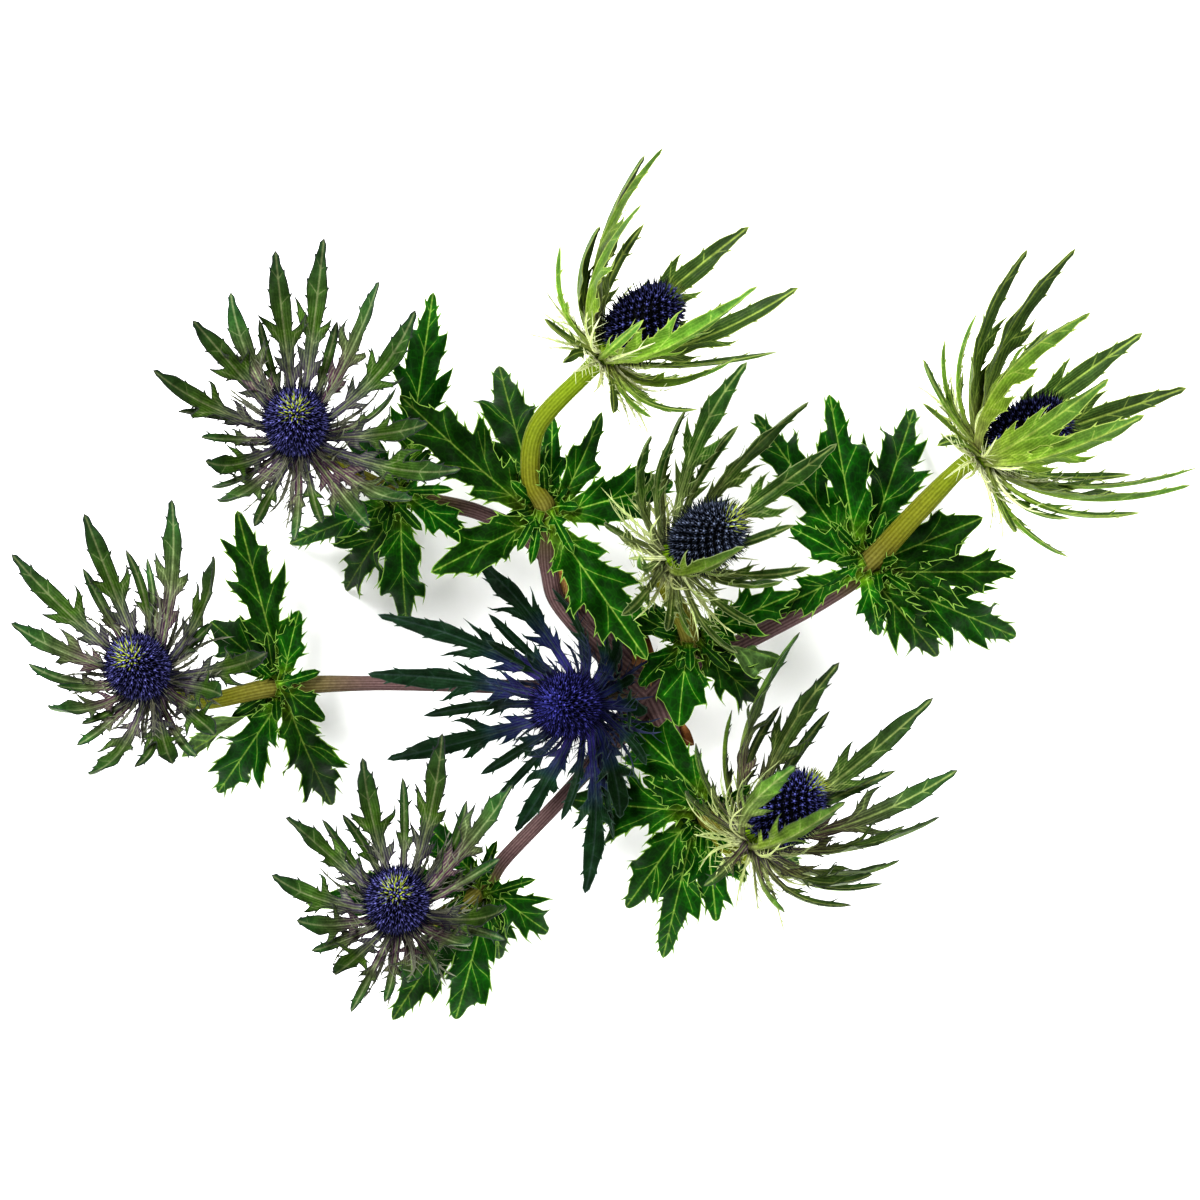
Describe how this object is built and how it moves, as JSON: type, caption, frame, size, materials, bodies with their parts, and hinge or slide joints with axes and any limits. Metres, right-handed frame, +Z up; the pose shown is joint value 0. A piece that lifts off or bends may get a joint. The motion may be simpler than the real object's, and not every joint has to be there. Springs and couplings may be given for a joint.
{
  "type": "sea holly stem",
  "caption": "Cut branching crown of sea holly lying face up: blue-violet flower cones in collars of long spiny bracts, over whorls of cut green leaves on slim ribbed branches.",
  "frame": {"origin": "middle of the crown's outline, on the surface that it rests on", "axes": "+X along the crown's longest spread, +Y along its shorter spread, +Z up, the way the flower heads face"},
  "size_m": [0.3265, 0.2404, 0.1098],
  "materials": {
    "stem": "satin, ribbed along the branches",
    "cone": "matte, bristly",
    "bract": "satin, stiff and spiny",
    "bract_dark": "satin, stiff and spiny",
    "leaf": "satin, net-veined"
  },
  "bodies": {
    "root": {"stem": "stem", "cone_1": "cone", "cone_2": "cone", "cone_3": "cone", "cone_4": "cone", "cone_5": "cone", "cone_6": "cone", "cone_7": "cone", "cone_8": "cone", "bracts_1": "bract", "bracts_2": "bract", "bracts_3": "bract", "bracts_4": "bract", "bracts_5": "bract", "bracts_6": "bract", "bracts_7": "bract", "bracts_8": "bract_dark", "leaves_1": "leaf", "leaves_2": "leaf", "leaves_3": "leaf", "leaves_4": "leaf", "leaves_5": "leaf", "leaves_6": "leaf", "leaves_7": "leaf"}
  },
  "joints": []
}
